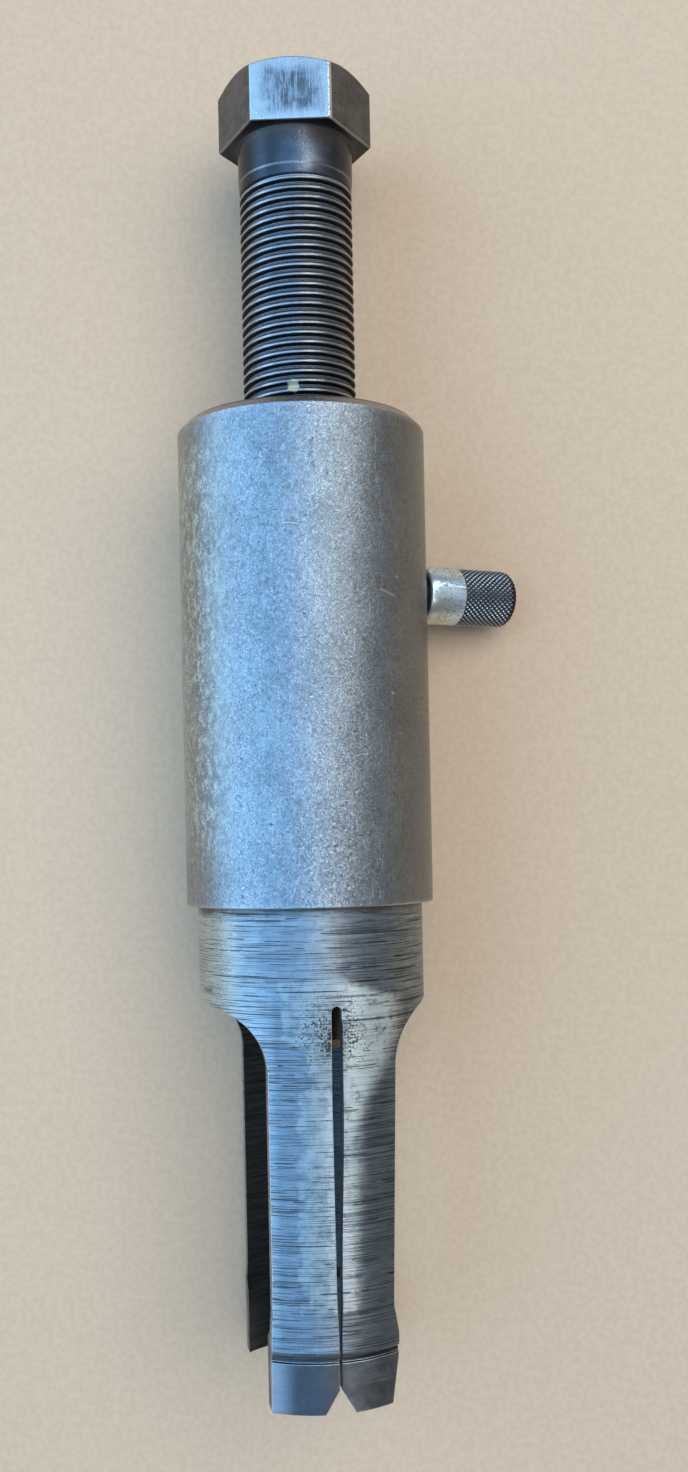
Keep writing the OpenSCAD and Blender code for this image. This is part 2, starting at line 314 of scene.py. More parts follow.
def jaw_material():
    """Turned steel with dark tool lines round it, a frosted ground patch along each slot, rust and patina,
    and painted shade and highlights.
    """
    g = Graph("jaw_steel")
    grain = g.noise(4.5, 3.0, 0.7)
    mottle = g.noise(0.5, 4.0, 0.6)
    fine = g.noise((0.06, 7.0, 0.06), 3.0, 0.7)
    ragged = g.add(g.swing(mottle, 4.0), g.swing(grain, 1.6))

    # Where a point is: across lies right of the slots' plane, and along_plane says how far out in it
    c, s = math.cos(JAW_ROLL), math.sin(JAW_ROLL)
    across = g.add(g.times(g.x, c), g.times(g.z, -s))
    along_plane = g.size(g.add(g.times(g.x, s), g.times(g.z, c)))
    radius = g.radial(g.x, g.z)
    outside = g.rise(radius, JAW_R - 1.35, JAW_R - 1.15)
    in_bore_shade = g.rise(radius, CAVITY_R + 0.25, CAVITY_R + 0.1)
    front = g.times(outside, g.rise(along_plane, 12.0, 15.0))
    right_side = g.rise(across, -1.0, 4.0)
    fingers = g.times(g.rise(g.y, FINGER_TOP + 10.0, FINGER_TOP),
                      g.rise(g.y, GROOVE_Y + 1.5, GROOVE_Y + 4.0))
    left_rim_highlight = g.times(fingers, outside, g.rise(across, -8.6, -10.2))
    tip = g.rise(g.y, GROOVE_Y + 0.5, GROOVE_Y)
    groove_shade = g.band(g.y, GROOVE_Y + 0.1, GROOVE_Y + 1.2, 0.3)
    shade_below_sleeve = g.rise(g.add(g.y, g.swing(mottle, 2.5)), SLEEVE_Y0 - 1.5, SLEEVE_Y0 - 0.2)
    slot_wall_shade = jaw_slot_wall(g, across)

    # Marks
    dark_line, hair_line, deep_line = jaw_lines(g, right_side)
    patchy = g.add(g.add(mottle, g.times(grain, 0.6)), g.times(right_side, 0.10))
    frost, slot_fringe_highlight = (g.times(mark, front) for mark in jaw_frost(g, across, ragged, patchy, right_side))
    rust = g.times(jaw_rust(g, across, mottle), outside)
    patina = g.times(g.rise(across, -13.0, -16.0), g.band(g.add(g.y, ragged), 62.5, 78.0, 2.5))
    patina = g.times(patina, g.rise(grain, 0.36, 0.56))
    edge = g.times(g.worn_edge_highlight(), outside, g.without(slot_wall_shade))
    lined = g.without(tip, 0.85)
    quiet = g.times(lined, g.without(frost, 0.62))

    # Bare steel with its grain; painted blue reflection and left-edge highlight on the fingers
    steel = g.mix(g.rise(mottle, 0.35, 0.65), (0.24, 0.27, 0.285), (0.30, 0.33, 0.345))
    # painted reflection: the fingers tinted blue left of the slot, grey right of it
    steel = g.coat(steel, fingers, 0.35, g.mix(right_side, (0.18, 0.235, 0.27), (0.18, 0.185, 0.19)))
    # painted highlight: a pale strip down the fingers' left edge
    steel = g.coat(steel, left_rim_highlight, 0.45, (0.56, 0.60, 0.60))
    steel = g.coat(steel, g.rise(grain, 0.50, 0.72), 0.40, (0.12, 0.125, 0.13))
    steel = g.coat(steel, g.rise(grain, 0.48, 0.36), 0.35, (0.42, 0.44, 0.45))
    steel = g.coat(steel, g.times(g.rise(fine, 0.42, 0.60), lined), 0.40, (0.12, 0.13, 0.14))

    # Ground patches and their fringe, each a painted shaded copy left of the slot and a lit copy right of
    # it, and tool lines
    frost_lit_and_shaded = g.mix(right_side, (0.36, 0.41, 0.39), (0.92, 0.96, 0.89))
    fringe_lit_and_shaded = g.mix(right_side, (0.50, 0.51, 0.49), (0.85, 0.86, 0.83))
    steel = g.coat(steel, g.times(frost, g.without(slot_wall_shade)), 0.78, frost_lit_and_shaded)
    steel = g.coat(steel, g.times(slot_fringe_highlight, g.without(slot_wall_shade)), 0.55, fringe_lit_and_shaded)
    steel = g.coat(steel, patina, 0.70, (0.66, 0.70, 0.64))
    steel = g.coat(steel, g.times(dark_line, quiet), 0.78, (0.035, 0.04, 0.045))
    steel = g.coat(steel, g.times(hair_line, quiet), 0.62, (0.05, 0.055, 0.06))
    steel = g.coat(steel, g.times(deep_line, lined), 0.85, (0.03, 0.03, 0.032))

    # Tips, rust, painted shade in the groove, below the sleeve, in the bore and on the slot wall, and edges
    # painted shade on the tips left of the slot, with a painted highlight at their far left edge
    left_tip_shade_and_highlight = g.mix(g.rise(across, -10.4, -6.5), (0.32, 0.31, 0.31), (0.036, 0.033, 0.037))
    right_tip = g.mix(g.rise(mottle, 0.4, 0.6), (0.12, 0.125, 0.125), (0.18, 0.18, 0.175))
    bore_shade = g.mix(g.rise(fine, 0.45, 0.60), (0.05, 0.055, 0.055), (0.02, 0.02, 0.022))
    steel = g.coat(steel, tip, 0.80, g.mix(right_side, left_tip_shade_and_highlight, right_tip))
    steel = g.coat(steel, rust, 0.95, (0.022, 0.016, 0.012))
    # painted shade in the groove above the lip
    steel = g.coat(steel, groove_shade, 0.85, (0.035, 0.032, 0.03))
    # painted shade on the jaw just below the sleeve's lower edge and inside it
    steel = g.coat(steel, shade_below_sleeve, 0.75, (0.08, 0.068, 0.055))
    # painted shade inside the jaw's bore
    steel = g.coat(steel, in_bore_shade, 0.93, bore_shade)
    # painted shade on the slot's right wall and the edge above it
    steel = g.coat(steel, slot_wall_shade, 0.85, (0.03, 0.035, 0.045))
    # worn edges, brightened partly as a painted highlight
    steel = g.coat(steel, edge, 0.85, (0.84, 0.86, 0.88))

    rough = g.add(0.36, g.swing(grain, 0.35))
    rough = g.add(rough, g.times(frost, 0.12))
    rough = g.add(rough, g.times(g.either(dark_line, rust), 0.20))
    rough = g.less(rough, g.times(edge, 0.10), clamp=True)
    height = g.add(g.times(fine, 0.40), g.times(grain, 0.55))
    height = g.less(height, g.times(g.either(dark_line, deep_line), quiet, 0.6))
    metallic = g.without(g.either(rust, g.times(patina, 0.4)), 0.8)
    return g.finish(steel, rough, height, 0.05, metallic)


# ---------------------------------------------------------------- the other materials


def sleeve_material():
    """Satin steel barrel: finely speckled, with faint scratches along it, small pits and a few dings."""
    g = Graph("sleeve_steel")
    mottle = g.noise((0.16, 0.10, 0.16), 4.0, 0.6)
    cloud = g.noise((0.9, 0.6, 0.9), 5.0, 0.7)
    grain = g.noise(4.2, 3.0, 0.75)
    speckle = g.noise((3.0, 2.6, 3.0), 3.0, 0.8)
    grit = g.noise((1.5, 1.2, 1.5), 3.0, 0.7)

    # Pits, scratches along the barrel, nicks across it, and dings, of which some are at fixed places
    pits = g.rise(g.add(speckle, g.swing(cloud, 0.25)), 0.60, 0.67)
    bright = g.rise(speckle, 0.45, 0.38)
    scratch = g.noise((3.0, 0.09, 3.0), 3.0, 0.7)
    scratches = g.times(g.rise(scratch, 0.58, 0.68), g.rise(cloud, 0.44, 0.60))
    nick = g.noise((0.30, 1.9, 0.30), 2.0, 0.5)
    nicks = g.times(g.rise(nick, 0.70, 0.74), g.rise(cloud, 0.50, 0.56))
    dings = g.rise(g.noise(0.45, 2.0, 0.4), 0.735, 0.77)
    for struck_x, struck_y, lean in SLEEVE_NICKS:
        along = g.add(g.x, -struck_x)
        bow = g.add(g.times(along, along, 0.10), g.times(along, lean))
        off = g.size(g.add(g.add(g.y, -struck_y), bow))
        nick_line = g.times(g.rise(off, 0.28, 0.10), g.rise(g.size(along), 1.5, 0.9))
        dings = g.either(dings, g.times(nick_line, g.rise(g.z, 0.0, 1.0)))

    # Places: the worn lower part with a painted blue tint, the rims, the patina on the left and a darker
    # upper right side
    low_wear_and_blue_tint = g.rise(g.add(g.y, g.swing(mottle, 40.0)), SLEEVE_Y0 + 38.0, SLEEVE_Y0 + 4.0)
    rim = g.either(g.rise(g.y, SLEEVE_Y1 - 2.4, SLEEVE_Y1 - 1.6),
                   g.rise(g.y, SLEEVE_Y0 + 0.9, SLEEVE_Y0 + 0.1))
    patina = g.add(speckle, g.swing(cloud, 0.8))
    patina = g.times(g.rise(patina, 0.50, 0.64), g.rise(g.x, -10.5, -17.0), g.band(g.y, 95.0, 150.0, 12.0))
    darker_upper_right = g.times(g.rise(g.add(g.x, g.swing(cloud, 14.0)), 11.0, 18.0), g.rise(g.z, -2.0, 2.0))
    in_bore_shade = g.rise(g.radial(g.x, g.z), SLEEVE_R - 1.0, SLEEVE_R - 1.3)
    edge = g.worn_edge_highlight()

    steel = g.mix(g.rise(mottle, 0.36, 0.64), (0.225, 0.24, 0.25), (0.305, 0.32, 0.33))
    steel = g.coat(steel, g.rise(cloud, 0.44, 0.62), 0.35, (0.40, 0.41, 0.41))
    steel = g.coat(steel, g.rise(grit, 0.50, 0.62), 0.48, (0.12, 0.12, 0.12))
    steel = g.coat(steel, g.rise(grain, 0.50, 0.70), 0.45, (0.14, 0.145, 0.15))
    steel = g.coat(steel, bright, 0.50, (0.58, 0.59, 0.60))
    steel = g.coat(steel, pits, 0.75, (0.06, 0.06, 0.06))
    steel = g.coat(steel, scratches, 0.45, (0.60, 0.61, 0.62))
    steel = g.coat(steel, nicks, 0.60, (0.12, 0.115, 0.11))
    # painted reflection tint on the worn lower part, which is also smoother from wear
    steel = g.coat(steel, low_wear_and_blue_tint, 0.10, (0.16, 0.20, 0.24))
    steel = g.coat(steel, patina, 0.80, (0.64, 0.74, 0.62))
    # the upper half darkened towards the right side
    steel = g.coat(steel, darker_upper_right, 0.62, (0.12, 0.115, 0.11))
    steel = g.coat(steel, dings, 0.6, (0.62, 0.62, 0.61))
    steel = g.coat(steel, rim, 0.25, (0.50, 0.50, 0.50))
    # worn edges, brightened partly as a painted highlight
    steel = g.coat(steel, edge, 0.7, (0.80, 0.81, 0.82))
    # painted shade inside the sleeve's bore
    steel = g.coat(steel, in_bore_shade, 0.8, (0.06, 0.055, 0.05))

    rough = g.add(0.27, g.swing(grain, 0.30))
    rough = g.less(rough, g.times(low_wear_and_blue_tint, 0.04))
    rough = g.add(rough, g.times(pits, 0.15))
    rough = g.less(rough, g.times(g.either(rim, edge), 0.08), clamp=True)

    height = g.less(g.add(g.times(grain, 0.3), g.times(speckle, 0.7)), g.times(pits, 0.15))
    height = g.add(height, g.times(grit, 0.25))
    height = g.less(height, g.times(g.either(dings, nicks), 0.9))
    height = g.less(height, g.times(scratches, 0.2))
    return g.finish(steel, rough, height, 0.11)


def screw_material():
    """Dark oxide screw: bright crests over near-black roots, one polished flat and a dab of paint, with
    painted shade on the shank's sides, the thread's right side and under the head.
    """
    g = Graph("screw_steel")
    radius = g.radial(g.x, g.z)
    grain = g.noise(3.5, 4.0, 0.7)
    smear = g.noise((0.35, 0.5, 0.35), 4.0, 0.6)
    brushed = g.noise((5.0, 0.22, 5.0), 3.0, 0.75)
    in_thread = g.band(g.y, THREAD_Y0, THREAD_Y1 - 0.3, 0.2)
    worn_radius = g.add(radius, g.swing(smear, 0.12))
    crest = g.times(in_thread, g.rise(worn_radius, THREAD_R - 0.05, THREAD_R))
    root = g.times(in_thread, g.rise(radius, THREAD_R - 0.04, THREAD_R - 0.22))
    head = g.rise(g.y, HEAD_Y - 0.2, HEAD_Y + 0.1)
    shank = g.band(g.y, THREAD_Y1, HEAD_Y - 1.5, 0.8)
    polished = g.times(head, g.rise(g.z, HEAD_AF / 2 - 0.45, HEAD_AF / 2 - 0.25))
    top = g.rise(g.y, HEAD_TOP - 0.5, HEAD_TOP - 0.2)

    # Grime streaks and painted shade darken the shank below the head, and painted shade covers the head's
    # underside
    grime_and_shade_under_head = g.times(g.rise(g.y, HEAD_Y - 4.5, HEAD_Y - 1.0),
                    g.rise(g.add(grain, g.times(smear, 0.5)), 0.55, 0.80),
                    g.rise(radius, SHANK_R + 1.4, SHANK_R + 0.9))
    underside_shade = g.times(g.rise(g.y, HEAD_Y + 0.12, HEAD_Y + 0.04),
                        g.rise(radius, SHANK_R + 0.3, SHANK_R + 0.9))
    corner = g.times(g.rise(g.y, HEAD_Y - 0.9, HEAD_Y - 0.6),
                     g.rise(radius, SHANK_R + 1.3, SHANK_R + 0.9))
    edge = g.less(g.worn_edge_highlight(0.3, 0.9), corner, clamp=True)
    from_paint = g.radial(g.add(g.x, -PAINT_X), g.add(g.y, -PAINT_Y))
    paint = g.add(from_paint, g.swing(g.noise(1.6, 3.0), 1.6))
    paint = g.times(g.rise(paint, 1.15, 0.75), g.rise(g.z, 0.0, 1.0))

    steel = g.mix(g.rise(smear, 0.35, 0.65), (0.085, 0.08, 0.08), (0.16, 0.155, 0.155))
    steel = g.coat(steel, g.rise(grain, 0.5, 0.7), 0.5, (0.05, 0.045, 0.04))
    steel = g.coat(steel, shank, 0.60, (0.075, 0.09, 0.12))
    # painted shade on the shank's left and right sides
    shank_side_shade = g.times(shank, g.either(g.rise(g.x, 0.5, -4.5), g.rise(g.x, 5.5, 8.0)))
    steel = g.coat(steel, shank_side_shade, 0.78, (0.03, 0.03, 0.033))
    steel = g.coat(steel, head, 0.30, (0.05, 0.045, 0.042))
    steel = g.coat(steel, g.times(head, g.rise(brushed, 0.45, 0.65)), 0.28, (0.22, 0.21, 0.205))
    steel = g.coat(steel, root, 0.92, (0.022, 0.018, 0.016))
    steel = g.coat(steel, crest, 0.85, (0.42, 0.42, 0.41))
    # painted shade: the thread darker towards its right side
    steel = g.coat(steel, g.times(in_thread, g.rise(g.x, 0.0, 6.0)), 0.40, (0.03, 0.03, 0.03))
    # painted shade under the head, with grime streaks on the shank
    steel = g.coat(steel, g.either(grime_and_shade_under_head, underside_shade), 0.85, (0.03, 0.026, 0.022))

    # The polished flat is brushed, and brightest towards its borders
    flat_x = g.rise(g.size(g.add(g.x, g.swing(smear, 3.0))), 3.0, 5.9)
    flat_y = g.either(g.rise(g.y, HEAD_Y + 2.6, HEAD_Y + 0.2),
                      g.rise(g.y, HEAD_TOP - 3.2, HEAD_TOP - 0.9))
    blotch = g.add(g.noise((0.55, 0.40, 0.55), 4.0, 0.7), g.swing(brushed, 0.5))
    shine = g.mix(g.rise(blotch, 0.38, 0.60), (0.13, 0.14, 0.145), (0.34, 0.355, 0.37))
    shine = g.coat(shine, g.rise(brushed, 0.50, 0.60), 0.60, (0.54, 0.56, 0.58))
    shine = g.coat(shine, g.either(flat_x, flat_y), 0.70, (0.70, 0.71, 0.70))
    steel = g.coat(steel, polished, 0.95, shine)
    steel = g.coat(steel, top, 0.3, (0.34, 0.33, 0.33))
    # worn edges, brightened partly as a painted highlight
    steel = g.coat(steel, edge, 0.75, (0.70, 0.72, 0.75))
    steel = g.coat(steel, paint, 0.95, (0.50, 0.62, 0.55))

    rough = g.add(0.38, g.swing(grain, 0.4))
    rough = g.less(rough, g.times(g.either(crest, g.either(polished, shank)), 0.08))
    rough = g.add(rough, g.times(g.either(root, paint), 0.25))
    height = g.add(g.times(grain, 0.5), g.times(g.times(brushed, head), 0.8))
    metallic = g.less(1.0, g.either(paint, g.times(grime_and_shade_under_head, 0.6)))
    return g.finish(steel, rough, height, 0.04, metallic)


def knob_material():
    """Knurled knob in its own frame: its axis is local Z, measured from the tool's axis. Its colours carry
    painted reflections, shade and highlights.
    """
    g = Graph("knob_steel")
    radius = g.radial(g.x, g.y)
    knurled = g.rise(g.z, KNURL_START - 0.1, KNURL_START + 0.1)
    tip = g.times(knurled, g.rise(radius, KNOB_R - KNURL_DEEP * 0.42, KNOB_R - 0.02))
    valley_shade = g.times(knurled, g.rise(radius, KNOB_R - KNURL_DEEP * 0.35, KNOB_R - KNURL_DEEP * 0.85))
    specks = g.rise(g.noise(2.6, 4.0, 0.75), 0.52, 0.60)
    specks = g.times(specks, g.rise(g.noise(0.35, 3.0), 0.38, 0.58))
    grain = g.noise((4.0, 4.0, 1.2), 3.0, 0.6)
    edge = g.worn_edge_highlight(0.15)
    warm_reflection = g.times(g.rise(g.y, 1.2, -2.2), g.rise(g.z, KNOB_BASE + 6.0, KNOB_BASE + 2.0))
    # painted reflection: the knob's base colour is a pale sky blue
    steel = g.mix(g.rise(grain, 0.4, 0.65), (0.70, 0.85, 0.94), (0.85, 0.95, 1.0))
    # painted reflection: a warm tint on the lower side near the base
    steel = g.coat(steel, warm_reflection, 0.55, (0.66, 0.60, 0.42))
    steel = g.coat(steel, specks, g.less(0.85, g.times(knurled, 0.5)), (0.10, 0.085, 0.07))
    steel = g.coat(steel, knurled, 0.80, (0.11, 0.11, 0.11))
    # painted shade in the knurl's valleys
    steel = g.coat(steel, valley_shade, 0.92, (0.018, 0.017, 0.017))
    # the knurl's worn points, brightened as a painted highlight
    steel = g.coat(steel, tip, 0.95, (0.95, 0.94, 0.92))
    # worn edges off the knurl, brightened partly as a painted highlight
    steel = g.coat(steel, g.times(edge, g.without(knurled)), 0.5, (0.8, 0.8, 0.8))
    rough = g.add(0.30, g.times(specks, 0.3))
    rough = g.add(rough, g.times(valley_shade, 0.25))
    height = g.less(g.times(grain, 0.3), g.times(specks, 0.7))
    return g.finish(steel, rough, height, 0.03, rounded=False)


def plain_steel(name, dark, light, roughness):
    """Plain machined steel with fine grain, for the small pieces."""
    g = Graph(name)
    grain = g.noise(3.0, 4.0, 0.7)
    smear = g.noise(0.5, 3.0)
    edge = g.worn_edge_highlight(0.12)
    steel = g.mix(g.rise(grain, 0.42, 0.66), light, dark)
    steel = g.coat(steel, g.rise(smear, 0.5, 0.7), 0.4, dark)
    # worn edges, brightened partly as a painted highlight
    steel = g.coat(steel, edge, 0.5, tuple(min(1.0, v * 1.8 + 0.1) for v in light))
    rough = g.add(roughness, g.swing(grain, 0.3))
    return g.finish(steel, rough, grain, 0.03)


def floor_material():
    """Pale matt card, barely mottled."""
    g = Graph("floor_card")
    grain = g.noise(0.9, 3.0, 0.6)
    card = g.mix(g.rise(grain, 0.35, 0.65), (0.70, 0.61, 0.51), (0.75, 0.66, 0.555))
    return g.finish(card, 0.9, metallic=0.0)


# ---------------------------------------------------------------- mesh building blocks


def make_piece(name, points, faces, material, place=None, smooth_angle=32.0):
    """An object from points in millimetres, smooth except at edges sharper than smooth_angle."""
    mesh = bpy.data.meshes.new(name)
    mesh.from_pydata([(px * MM, py * MM, pz * MM) for px, py, pz in points], [], faces)
    mesh.validate()
    shell = bmesh.new()
    shell.from_mesh(mesh)
    bmesh.ops.recalc_face_normals(shell, faces=shell.faces)
    shell.to_mesh(mesh)
    shell.free()
    mesh.materials.append(material)
    piece = bpy.data.objects.new(name, mesh)
    bpy.context.scene.collection.objects.link(piece)
    if place is not None:
        piece.matrix_world = place
    mesh.polygons.foreach_set("use_smooth", [True] * len(mesh.polygons))
    mesh.set_sharp_from_angle(angle=math.radians(smooth_angle))
    return piece


def skin(rings):
    """Faces between neighbouring rings of point numbers. A ring of a single point closes an end."""
    faces = []
    for low, high in zip(rings, rings[1:]):
        size = max(len(low), len(high))
        for k in range(size):
            n = (k + 1) % size
            if len(low) == 1:
                faces.append((low[0], high[k], high[n]))
            elif len(high) == 1:
                faces.append((low[k], high[0], low[n]))
            else:
                faces.append((low[k], high[k], high[n], low[n]))
    return faces


def lathe(profile, turns=128):
    """Closed surface of revolution about +Y. The profile runs from axis to axis as (radius, height)."""
    points, rings = [], []
    for radius, height in profile:
        if radius == 0:
            rings.append([len(points)])
            points.append((0.0, height, 0.0))
        else:
            rings.append([len(points) + k for k in range(turns)])
            for k in range(turns):
                angle = 2 * math.pi * k / turns
                points.append((radius * math.sin(angle), height, radius * math.cos(angle)))
    return points, skin(rings)


def thread_ridge(start, steps=72):
    """The screw's right-hand helical ridge: a closed bar swept up the core, which runs in at its foot."""
    turns = (THREAD_Y1 - THREAD_Y0) / PITCH - 0.7
    count = int(turns * steps)
    high = THREAD_R - ROOT_R
    # Each point of the bar's cross-section: where in the pitch, and how much of the ridge's height
    section = [(-0.49, -0.25), (-0.47, 0.0), (-0.39, 0.08), (-0.17, 0.80), (-0.13, 0.93), (-0.07, 1.0),
               (0.07, 1.0), (0.13, 0.93), (0.17, 0.80), (0.39, 0.08), (0.47, 0.0), (0.49, -0.25)]
    points, faces = [], []
    for i in range(count + 1):
        turn = i / steps
        run_in = min(1.0, turn / 0.8)
        angle = 2 * math.pi * turn
        for shift, rise in section:
            radius = ROOT_R + (rise * high * run_in if rise > 0 else rise)
            height = THREAD_Y0 + PITCH * (turn + 0.5 + shift)
            points.append((radius * math.sin(angle), height, radius * math.cos(angle)))
    wide = len(section)
    for i in range(count):
        for k in range(wide):
            n = (k + 1) % wide
            a, b = start + i * wide, start + (i + 1) * wide
            faces.append((a + k, a + n, b + n, b + k))
    faces.append(tuple(start + k for k in range(wide - 1, -1, -1)))
    faces.append(tuple(start + count * wide + k for k in range(wide)))
    return points, faces


def hex_outline(corner_round=0.3, steps=5, per_side=10):
    """Outline of the hex head with slightly worn corners, as (x, z) points; a flat faces +Z."""
    corners, outline = [], []
    reach = HEAD_AF / 2 / math.cos(math.pi / 6)
    inset = corner_round / math.cos(math.pi / 6)
    for k in range(6):
        direction = math.radians(30 + 60 * k) - HEAD_TURN
        centre = (reach - inset) * math.sin(direction), (reach - inset) * math.cos(direction)
        corners.append((direction, centre))
    for k, (direction, centre) in enumerate(corners):
        for step in range(steps + 1):
            angle = direction + math.radians(-30 + 60 * step / steps)
            outline.append((centre[0] + corner_round * math.sin(angle),
                            centre[1] + corner_round * math.cos(angle)))
        angle = direction + math.radians(30)
        last = outline[-1]
        next_x, next_z = corners[(k + 1) % 6][1]
        first = (next_x + corner_round * math.sin(angle), next_z + corner_round * math.cos(angle))
        for step in range(1, per_side):
            share = step / per_side
            outline.append((last[0] + (first[0] - last[0]) * share, last[1] + (first[1] - last[1]) * share))
    return outline


def hex_head(start):
    """The head: flat sides, a sharp underside and a 30 degree chamfer that leaves arcs on the flats."""
    # Up from the underside, as (share of the outline, height); None stands for the chamfer's two rims
    levels = [(0.985, 0.0), (1.0, 0.16), (1.0, None), (None, None)]
    outline = hex_outline()
    points, rings = [(0.0, HEAD_Y, 0.0)], [[start]]
    for share, height in levels:
        ring = []
        for x, z in outline:
            reach = math.hypot(x, z)
            if share is None:
                point = (x / reach * HEAD_FACE_R, HEAD_TOP, z / reach * HEAD_FACE_R)
            elif height is None:
                point = (x, HEAD_TOP - (reach - HEAD_FACE_R) * math.tan(HEAD_CHAMFER), z)
            else:
                point = (x * share, HEAD_Y + height, z * share)
            ring.append(start + len(points))
            points.append(point)
        rings.append(ring)
    rings.append([start + len(points)])
    points.append((0.0, HEAD_TOP, 0.0))
    return points, skin(rings)


def build_screw(material):
    """The forcing screw: a turned core, the thread's ridge wound on it, and the hex head."""
    spigot = [(0, SCREW_Y0 + 1.5), (1.6, SCREW_Y0 + 1.0), (2.4, SCREW_Y0), (SPIGOT_R - 0.4, SCREW_Y0),
              (SPIGOT_R, SCREW_Y0 + 0.4), (SPIGOT_R, THREAD_Y0)]
    root = [(ROOT_R - 0.9, THREAD_Y0), (ROOT_R, THREAD_Y0 + 0.9), (ROOT_R, THREAD_Y1 - 0.55)]
    run_out = [(ROOT_R + 0.45, THREAD_Y1 - 0.25), (THREAD_R - 0.12, THREAD_Y1),
               (THREAD_R - 0.06, THREAD_Y1 + 0.15), (THREAD_R - 0.06, THREAD_Y1 + 1.35)]
    shank = [(SHANK_R - 0.16, THREAD_Y1 + 1.50), (SHANK_R - 0.05, THREAD_Y1 + 1.62),
             (SHANK_R, THREAD_Y1 + 1.95), (SHANK_R, HEAD_Y - 0.25), (SHANK_R + 0.15, HEAD_Y + 0.05),
             (0, HEAD_Y + 0.5)]
    points, faces = lathe(spigot + root + run_out + shank)
    for part in (thread_ridge, hex_head):
        more_points, more_faces = part(len(points))
        points += more_points
        faces += more_faces
    return make_piece("threaded_screw", points, faces, material)


def spoke_matrix(height, roll):
    """A frame on the tool's axis at that height: Z points out along a spoke, and Y is the tool's +Y."""
    out = Vector((math.sin(roll), 0.0, math.cos(roll)))
    along = Vector((0.0, 1.0, 0.0))
    side = along.cross(out)
    matrix = Matrix((side, along, out)).transposed().to_4x4()
    matrix.translation = (0.0, height * MM, 0.0)
    return matrix


def build_knob(material):
    """Knob with a plain collar, a true diamond knurl of crossed grooves, and a rounded end."""
    around = KNURL_AROUND * KNURL_POINTS
    rows = [(KNOB_R - 0.35, KNOB_BASE), (KNOB_R - 0.1, KNOB_BASE + 0.1), (KNOB_R, KNOB_BASE + 0.35)]
    rows += [(KNOB_R, KNOB_BASE + 0.35 + (KNOB_PLAIN - 0.45) * k / 4) for k in range(1, 5)]
    row_step = KNURL_STEP / KNURL_POINTS
    steps = int((KNOB_END - KNOB_ROUND - KNURL_START) / row_step)
    rows += [(KNOB_R, KNURL_START + row_step * k) for k in range(steps + 1)]
    last = rows[-1][1]
    end_round = KNOB_END - last
    rows += [(KNOB_R - end_round + end_round * math.cos(a), last + end_round * math.sin(a))
             for a in (math.radians(7.5 * k) for k in range(1, 13))]
    rows = [(0, KNOB_BORE_END), (KNOB_BORE_R, KNOB_BORE_END), (KNOB_BORE_R, KNOB_BASE + 0.1),
            (KNOB_BORE_R + 0.1, KNOB_BASE)] + rows
    rows.append((0, KNOB_END))

    # The knurl is full on the side, and fades out over the rounded end between these two radii
    knurl_none_r, knurl_full_r = KNOB_R * 0.7, KNOB_R * 0.9
    points, rings = [], []
    for radius, height in rows:
        if radius == 0:
            rings.append([len(points)])
            points.append((0.0, 0.0, height))
            continue
        ring = []
        for k in range(around):
            angle = 2 * math.pi * k / around
            r = radius
            if height > KNURL_START - 0.01 and radius > knurl_none_r:
                a = KNURL_AROUND * k / around
                b = (height - KNURL_START) / KNURL_STEP
                left = abs((a + b) % 1.0 - 0.5) * 2
                right = abs((a - b) % 1.0 - 0.5) * 2
                peak = min(1.0, min(1.0 - left, 1.0 - right) * 1.12)
                fade = min(1.0, (radius - knurl_none_r) / (knurl_full_r - knurl_none_r))
                r -= KNURL_DEEP * (1.0 - peak) * fade
            ring.append(len(points))
            points.append((r * math.cos(angle), r * math.sin(angle), height))
        rings.append(ring)
    faces = [(face[0], *face[:0:-1]) for face in skin(rings)]
    return make_piece("knurled_knob", points, faces, material, spoke_matrix(PLUNGER_Y, PLUNGER_ROLL), 50.0)


def build_spring(material, steps=40, shank_side_shade=14):
    """Compression spring between the plunger's shoulder and the bushing's cap, its end coils closed."""
    length = SPRING_END - SPRING_START
    closed = 2 * SPRING_WIRE_R
    pitch = (length - 2 * SPRING_WIRE_R - 2 * closed) / (SPRING_TURNS - 2)
    points, faces = [], []
    count = SPRING_TURNS * steps
    for i in range(count + 1):
        turn = i / steps
        middle = min(max(turn - 1, 0), SPRING_TURNS - 2)
        ends = turn - middle
        height = SPRING_START + SPRING_WIRE_R + pitch * middle + closed * ends
        angle = 2 * math.pi * turn
        for k in range(shank_side_shade):
            a = 2 * math.pi * k / shank_side_shade
            reach = SPRING_R + SPRING_WIRE_R * math.cos(a)
            up = height + SPRING_WIRE_R * math.sin(a)
            points.append((reach * math.cos(angle), reach * math.sin(angle), up))
    for i in range(count):
        for k in range(shank_side_shade):
            n = (k + 1) % shank_side_shade
            faces.append((i * shank_side_shade + k, i * shank_side_shade + n, (i + 1) * shank_side_shade + n, (i + 1) * shank_side_shade + k))
    faces.append(tuple(range(shank_side_shade)))
    faces.append(tuple(count * shank_side_shade + k for k in range(shank_side_shade)))
    return make_piece("return_spring", points, faces, material, spoke_matrix(PLUNGER_Y, PLUNGER_ROLL))


# ---------------------------------------------------------------- the object


def dress(node, material):
    """Gives a carried-over CAD node its material."""
    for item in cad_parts[node].material_slots:
        item.link = "OBJECT"
        item.material = material


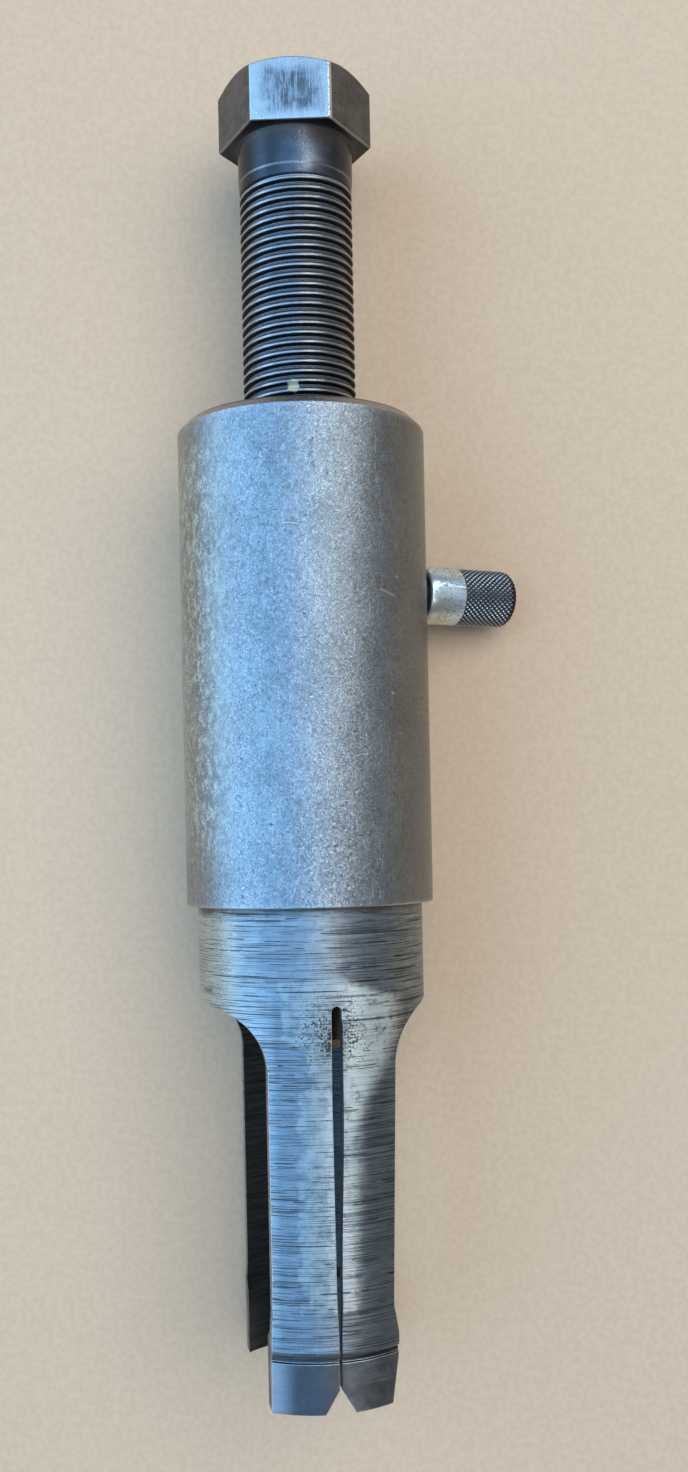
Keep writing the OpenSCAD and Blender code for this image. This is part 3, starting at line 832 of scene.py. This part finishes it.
dress("jaw_body", jaw_material())
dress("locking_sleeve", sleeve_material())
dress("pressure_pad", plain_steel("pad_steel", (0.05, 0.042, 0.035), (0.14, 0.12, 0.10), 0.42))
dress("thrust_ball", plain_steel("ball_steel", (0.55, 0.56, 0.58), (0.68, 0.69, 0.70), 0.15))
spring_wire = plain_steel("spring_steel", (0.30, 0.30, 0.31), (0.45, 0.45, 0.46), 0.3)
dress("pad_retaining_ring", spring_wire)
dress("plunger_bushing", plain_steel("bushing_steel", (0.018, 0.017, 0.017), (0.045, 0.042, 0.04), 0.5))
dress("plunger_pin", plain_steel("pin_steel", (0.34, 0.34, 0.35), (0.52, 0.52, 0.53), 0.28))

screw = build_screw(screw_material())
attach(screw, "screw")
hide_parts("forcing_screw")

knob = build_knob(knob_material())
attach(knob, "plunger")
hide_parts("plunger_knob")

spring = build_spring(spring_wire)
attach(spring, "sleeve")
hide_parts("plunger_spring")
# On the real tool, pulling the plunger squeezes the spring against the bushing's cap, which stays where it
# is; here the spring only gets a mesh of its own
outward = spoke_matrix(PLUNGER_Y, PLUNGER_ROLL)
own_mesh(spring)


# ---------------------------------------------------------------- floor, light and camera


def build_floor():
    """A wide floor at the height of the sleeve's lowest side, on which the tool lies."""
    half = 5000.0
    level = -SLEEVE_R
    points = [(-half, -half, level), (half, -half, level), (half, half, level), (-half, half, level)]
    floor = make_piece("floor", points, [(0, 1, 2, 3)], floor_material())


def area_light(name, place, size, power, colour, on_metal=True, on_floor=True):
    """A soft box aimed at the tool. Kept off the metal or off the floor, it lights only the other."""
    data = bpy.data.lights.new(name, "AREA")
    data.shape = "RECTANGLE"
    data.size, data.size_y = size
    data.energy = power
    data.color = colour
    lamp = bpy.data.objects.new(name, data)
    lamp.location = place
    lamp.rotation_mode = "QUATERNION"
    lamp.rotation_quaternion = (LIGHT_AIM - Vector(place)).to_track_quat("-Z", "Y")
    lamp.visible_glossy = on_metal
    lamp.visible_diffuse = on_floor
    bpy.context.scene.collection.objects.link(lamp)


def build_light():
    """Cool boxes and two strips that the metal mirrors, and a warm and a cool light for the floor."""
    area_light("sky_box", (-0.53, 0.12, 0.87), (1.68, 1.9), 20.5, (0.23, 0.55, 1.0), on_floor=False)
    area_light("sky_low", (-1.05, 0.12, 0.30), (1.6, 0.60), 7.5, (0.34, 0.63, 0.95), on_floor=False)
    area_light("white_strip", (0.325, -0.20, 0.86), (0.07, 0.5), 1.2, (1.0, 0.97, 0.94), on_floor=False)
    area_light("ridge_strip", (0.46, 0.52, 0.76), (0.09, 0.9), 3.6, (0.78, 0.91, 1.0), on_floor=False)
    area_light("grey_side", (0.75, 0.15, 0.60), (0.5, 1.2), 0.55, (0.85, 0.95, 1.0), on_floor=False)
    area_light("warm_key", (0.37, 0.35, 1.05), (1.1, 1.1), 9.7, (1.0, 0.855, 0.69), on_metal=False)
    area_light("cool_fill", (-0.75, 0.20, 0.75), (1.0, 1.0), 5.4, (0.60, 0.84, 1.0), on_metal=False)
    world = bpy.data.worlds.new("studio")
    world.use_nodes = True
    background = world.node_tree.nodes["Background"]
    background.inputs[0].default_value = (0.78, 0.88, 1.0, 1.0)
    background.inputs[1].default_value = 0.22
    bpy.context.scene.world = world
    bpy.context.scene.view_settings.view_transform = "Standard"


def build_camera():
    """Looks straight down on the lying tool, as the photograph does."""
    data = bpy.data.cameras.new("camera")
    data.sensor_width = 36.0
    data.lens = 34.36
    data.shift_x, data.shift_y = 0.0054, 0.065
    data.clip_start, data.clip_end = 0.01, 10.0
    camera = bpy.data.objects.new("camera", data)
    camera.location = (4.65 * MM, 92.1 * MM, 239.66 * MM)
    camera.rotation_euler = (math.radians(-0.041), 0.0, -0.02083)
    bpy.context.scene.collection.objects.link(camera)
    bpy.context.scene.camera = camera


build_floor()
build_light()
build_camera()
